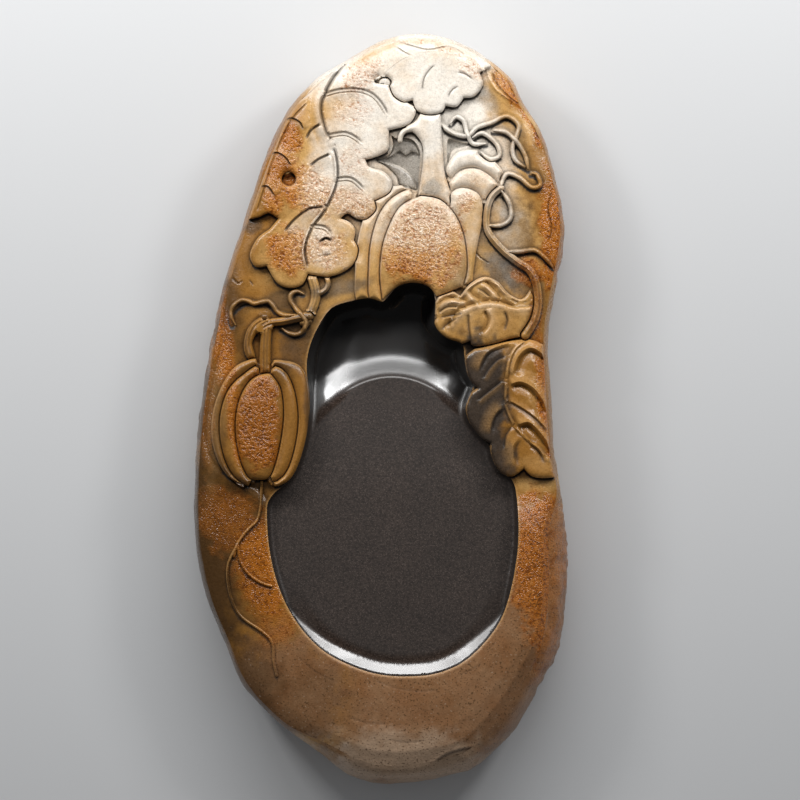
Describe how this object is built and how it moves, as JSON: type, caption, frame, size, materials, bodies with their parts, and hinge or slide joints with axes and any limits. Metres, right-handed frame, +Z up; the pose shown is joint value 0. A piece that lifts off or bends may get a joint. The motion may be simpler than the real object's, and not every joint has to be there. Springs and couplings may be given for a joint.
{
  "type": "carved ink stone",
  "caption": "Long pebble-shaped slate ink stone with a coved grinding hall, a deep ink pool and a carved relief of melons, leaves and vines.",
  "frame": {"origin": "middle of the box at the flat underside", "axes": "+Z up through the carved face, +Y along the length to the carved crown, +X to the right seen from above with the crown away"},
  "size_m": [0.128, 0.256, 0.0318],
  "materials": {
    "river_skin": "satin, rubbed river skin",
    "carved_ochre": "satin, carved and rubbed",
    "rust_stone": "matte, pitted",
    "dark_core": "satin, fine honed and oiled",
    "grey_core": "satin, carved"
  },
  "bodies": {
    "root": {"stone_block": "river_skin", "grinding_well": "dark_core", "crown_skin": "river_skin", "left_leaf": "carved_ochre", "top_leaf": "carved_ochre", "ruffled_leaf": "carved_ochre", "right_leaf": "grey_core", "back_leaf": "grey_core", "middle_melon": "rust_stone", "back_melon": "rust_stone", "left_melon": "rust_stone", "middle_stem": "carved_ochre", "left_melon_stalk": "carved_ochre", "left_leaf_stalk": "carved_ochre", "left_vine": "carved_ochre", "hooked_leaf": "carved_ochre", "left_tendril": "carved_ochre", "main_vine": "carved_ochre", "twisted_vine": "carved_ochre", "curled_tendril": "carved_ochre", "looped_tendril": "carved_ochre", "vine_branch": "carved_ochre", "trailing_tendril": "carved_ochre"}
  },
  "joints": []
}
